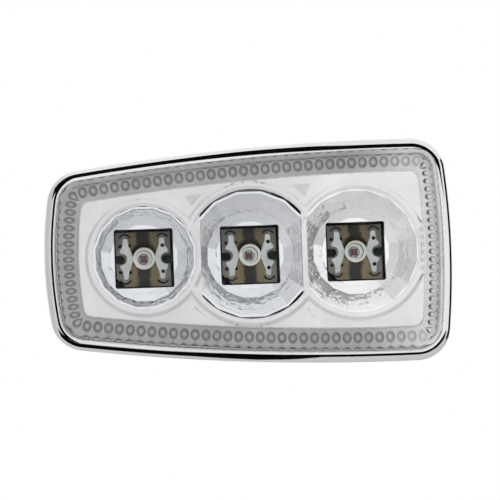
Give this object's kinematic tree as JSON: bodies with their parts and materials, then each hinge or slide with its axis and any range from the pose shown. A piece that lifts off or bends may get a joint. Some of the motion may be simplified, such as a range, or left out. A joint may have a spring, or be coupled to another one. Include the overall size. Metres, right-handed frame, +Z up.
{
  "type": "side repeater lamp",
  "caption": "Tapered side repeater lamp with a clear lens bordered by beads, a bright rim, faceted bowls around square LEDs, and a tub, wedge base and clips behind.",
  "frame": {"origin": "centre of the seal's rear face, where the lamp sits on the wing", "axes": "+X along the lamp towards its wide end, +Y out of the back into the wing, +Z up; the lens faces -Y"},
  "size_m": [0.055, 0.0244, 0.03],
  "materials": {
    "lens_clear": "clear acrylic, polished",
    "housing_plated": "plated bright rim on a dark moulded tub",
    "bezel_plated": "bright vacuum plating",
    "reflector_plated": "bright vacuum plating",
    "seal_foam": "matte foam",
    "board_laminate": "green lacquered laminate",
    "wedge_nylon": "moulded, satin",
    "contact_tinned": "tinned",
    "chip_part_black": "moulded, matte",
    "led_epoxy": "clear cast epoxy",
    "lead_frame": "silver plated",
    "led_die": "red-brown die"
  },
  "bodies": {
    "root": {"lens": "lens_clear", "housing": "housing_plated", "bezel_plate": "bezel_plated", "reflector": "reflector_plated", "wing_seal": "seal_foam", "circuit_board": "board_laminate", "wedge_base": "wedge_nylon", "wedge_contact_upper": "contact_tinned", "wedge_contact_lower": "contact_tinned", "resistor_upper": "chip_part_black", "resistor_lower": "chip_part_black", "diode": "chip_part_black", "led_narrow_body": "led_epoxy", "led_narrow_cathode": "lead_frame", "led_narrow_anode": "lead_frame", "led_narrow_chip": "led_die", "led_middle_body": "led_epoxy", "led_middle_cathode": "lead_frame", "led_middle_anode": "lead_frame", "led_middle_chip": "led_die", "led_wide_body": "led_epoxy", "led_wide_cathode": "lead_frame", "led_wide_anode": "lead_frame", "led_wide_chip": "led_die"}
  },
  "joints": []
}
